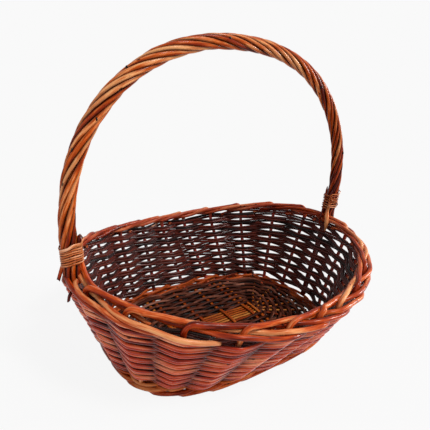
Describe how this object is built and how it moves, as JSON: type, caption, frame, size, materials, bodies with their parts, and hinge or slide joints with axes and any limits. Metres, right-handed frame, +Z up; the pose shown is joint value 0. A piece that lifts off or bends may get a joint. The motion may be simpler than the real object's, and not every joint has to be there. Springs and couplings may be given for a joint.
{
  "type": "willow basket",
  "caption": "Oval flared willow basket, open at the top, with a rod border and a fixed roped bow handle arching over its length.",
  "frame": {"origin": "on the floor under the middle of the base", "axes": "+X along the basket's length and its handle's arch, towards the higher end of the rim; +Y across it; +Z up"},
  "size_m": [0.4255, 0.3608, 0.3832],
  "materials": {
    "willow_stake": "stained and varnished willow rod, red brown, glossy",
    "willow_siding": "woven willow rods, stained dark red brown, varnished",
    "willow_wale": "heavier woven willow rods, orange brown, varnished",
    "willow_base": "woven willow rods, dark brown, varnished",
    "willow_slath": "peeled willow sticks, light orange, varnished",
    "willow_handle": "twisted willow rods, orange brown, glossy varnish",
    "willow_skein": "split willow skein, light red brown, glossy varnish"
  },
  "bodies": {
    "root": {"stake_01": "willow_stake", "stake_02": "willow_stake", "stake_03": "willow_stake", "stake_04": "willow_stake", "stake_05": "willow_stake", "stake_06": "willow_stake", "stake_07": "willow_stake", "stake_08": "willow_stake", "stake_09": "willow_stake", "stake_10": "willow_stake", "stake_11": "willow_stake", "stake_13": "willow_stake", "stake_14": "willow_stake", "stake_15": "willow_stake", "stake_16": "willow_stake", "stake_17": "willow_stake", "stake_18": "willow_stake", "stake_19": "willow_stake", "stake_20": "willow_stake", "stake_21": "willow_stake", "stake_22": "willow_stake", "stake_23": "willow_stake", "upsett_wale": "willow_wale", "siding": "willow_siding", "base_weave": "willow_base", "base_long_stick_1": "willow_slath", "base_long_stick_2": "willow_slath", "base_long_stick_3": "willow_slath", "base_long_stick_4": "willow_slath", "base_long_stick_5": "willow_slath", "base_long_stick_6": "willow_slath", "base_cross_stick_1": "willow_slath", "base_cross_stick_2": "willow_slath", "base_cross_stick_3": "willow_slath", "base_cross_stick_4": "willow_slath", "base_cross_stick_5": "willow_slath", "base_cross_stick_6": "willow_slath", "handle_bow": "willow_handle", "handle_rod_1": "willow_handle", "handle_rod_2": "willow_handle", "handle_rod_3": "willow_handle", "handle_rod_4": "willow_handle", "handle_rod_5": "willow_handle", "handle_rod_6": "willow_handle", "handle_rod_7": "willow_handle", "handle_rod_8": "willow_handle", "bound_stick_left_1": "willow_stake", "bound_stick_left_2": "willow_stake", "bound_stick_right_1": "willow_stake", "bound_stick_right_2": "willow_stake", "binding_left": "willow_skein", "binding_right": "willow_skein"}
  },
  "joints": []
}
